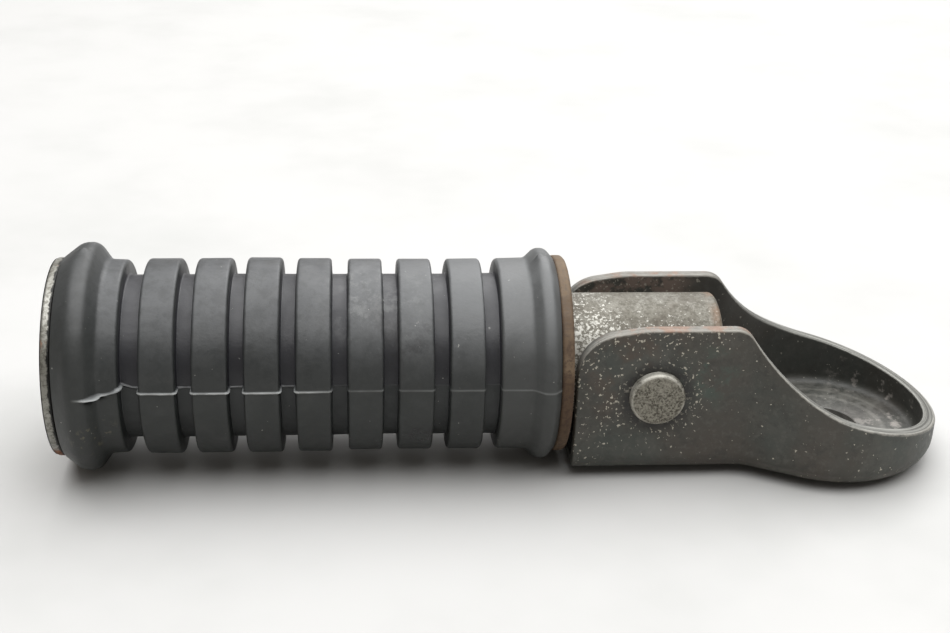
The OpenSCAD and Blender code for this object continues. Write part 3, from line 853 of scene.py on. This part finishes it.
def zinc_steel():
    g = Graph("zinc_steel", (0.5, 0.5, 0.48), 0.4, 0.7)
    fine = g.noise(700, 4, 0.65)
    broad = g.noise(180, 3)
    colour = g.mix(g.span(fine, 0.35, 0.65), (0.34, 0.335, 0.31), (0.6, 0.6, 0.57))
    colour = g.mix(g.span(broad, 0.55, 0.7, 0.0, 0.5), colour, (0.30, 0.17, 0.09))
    g.to_shader(Base_Color=colour, Roughness=g.span(fine, 0.3, 0.7, 0.32, 0.5))
    g.bump((fine, 0.25, 0.1))
    return g.material


def finish_piece(obj, body, slot, material, *nodes):
    """Gives a new piece its material and its body, and hides the CAD nodes that it stands for. The slot is
    not used.
    """
    obj.data.materials.clear()
    obj.data.materials.append(material)
    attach(obj, body)
    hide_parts(*nodes)


def paint_node(node, material):
    """Gives a CAD node that is shown as it is its material."""
    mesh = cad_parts[node].data
    mesh.materials.clear()
    mesh.materials.append(material)


# Floor, light and camera

# The floor touches the outer bead and rises towards +X, as the real part lies tilted on its bead
FLOOR_LOW_X = -156.75
FLOOR_LOW_Z = -2.8
FLOOR_SLOPE = 0.0095
FLOOR_HALF = 3.0

# Each lamp's name, place, size and power, and the point that all of them face
LAMPS = (
    ("ceiling", (0.0, 0.03, 1.0), 1.75, 34.5),
    ("window", (0.15, 0.85, 0.65), 0.8, 4.5))
LAMP_TARGET = (-0.09, 0, 0.01)
SKY_COLOUR = (1.0, 0.94, 0.86, 1)
SKY_STRENGTH = 0.24

# The photograph's view, solved from the part's own edges in it
CAMERA_PLACE = (-0.10217, -0.28153, 0.15928)
CAMERA_FORWARD = (0.08027, 0.90496, -0.41787)
CAMERA_UP = (0.00539, 0.41882, 0.90805)
CAMERA_LENS = 56.38


def build_floor():
    middle_z = (FLOOR_LOW_Z - FLOOR_LOW_X * FLOOR_SLOPE) * MM
    corners = [(sx * FLOOR_HALF, sy * FLOOR_HALF, middle_z + sx * FLOOR_HALF * FLOOR_SLOPE)
               for sx, sy in ((-1, -1), (1, -1), (1, 1), (-1, 1))]
    mesh = bpy.data.meshes.new("floor")
    mesh.from_pydata(corners, [], [(0, 1, 2, 3)])
    floor = bpy.data.objects.new("floor", mesh)
    bpy.context.scene.collection.objects.link(floor)
    g = Graph("floor_paint", (0.5, 0.5, 0.49), 0.7, 0.0, 0.1)
    tone = g.noise(14, 4, 0.6)
    colour = g.mix(g.span(tone, 0.4, 0.75), (0.462, 0.462, 0.457), (0.422, 0.424, 0.417))
    # Seen straight on or in a reflection the floor is pale, and it throws less light back up at the part
    path = g.node("ShaderNodeLightPath").outputs
    seen = g.math("MAXIMUM", g.math("MAXIMUM", path["Is Camera Ray"], path["Is Glossy Ray"]),
                  path["Is Transmission Ray"])
    g.to_shader(Base_Color=g.mix(seen, (0.36, 0.34, 0.31), colour))
    mesh.materials.append(g.material)


def build_light():
    world = bpy.data.worlds.new("sky")
    bpy.context.scene.world = world
    world.use_nodes = True
    background = world.node_tree.nodes["Background"]
    background.inputs["Color"].default_value = SKY_COLOUR
    background.inputs["Strength"].default_value = SKY_STRENGTH
    for name, place, size, power in LAMPS:
        lamp = bpy.data.lights.new(name, "AREA")
        lamp.size = size
        lamp.energy = power
        obj = bpy.data.objects.new(name, lamp)
        obj.location = place
        obj.rotation_mode = "QUATERNION"
        obj.rotation_quaternion = (Vector(LAMP_TARGET) - Vector(place)).to_track_quat("-Z", "Y")
        bpy.context.scene.collection.objects.link(obj)


def build_camera():
    forward = Vector(CAMERA_FORWARD).normalized()
    right = forward.cross(Vector(CAMERA_UP)).normalized()
    up = right.cross(forward)
    data = bpy.data.cameras.new("camera")
    data.sensor_fit = "HORIZONTAL"
    data.sensor_width = 36.0
    data.lens = CAMERA_LENS
    data.clip_start, data.clip_end = 0.01, 20
    camera = bpy.data.objects.new("camera", data)
    rotation = Matrix((right, up, -forward)).transposed()
    camera.matrix_world = Matrix.Translation(CAMERA_PLACE) @ rotation.to_4x4()
    bpy.context.scene.collection.objects.link(camera)
    bpy.context.scene.camera = camera


build_camera()
build_light()
build_floor()

zinc = zinc_steel()
finish_piece(build_bracket(), "bracket", "painted_steel", painted_steel(), "mounting_bracket")
finish_piece(build_grip(), "peg", "grip_rubber", rubber(), "rubber_grip")
finish_piece(build_end_plate(), "peg", "zinc_steel", plated_plate(), "end_plate")
finish_piece(build_thrust_washer(), "peg", "rusty_steel", rusty_steel(), "thrust_washer")
paint_node("peg_tube", zinc_tube())
paint_node("pivot_pin", worn_pin_steel())
paint_node("pin_washer", zinc)
paint_node("split_pin", zinc)

bpy.context.scene.view_settings.view_transform = "Standard"
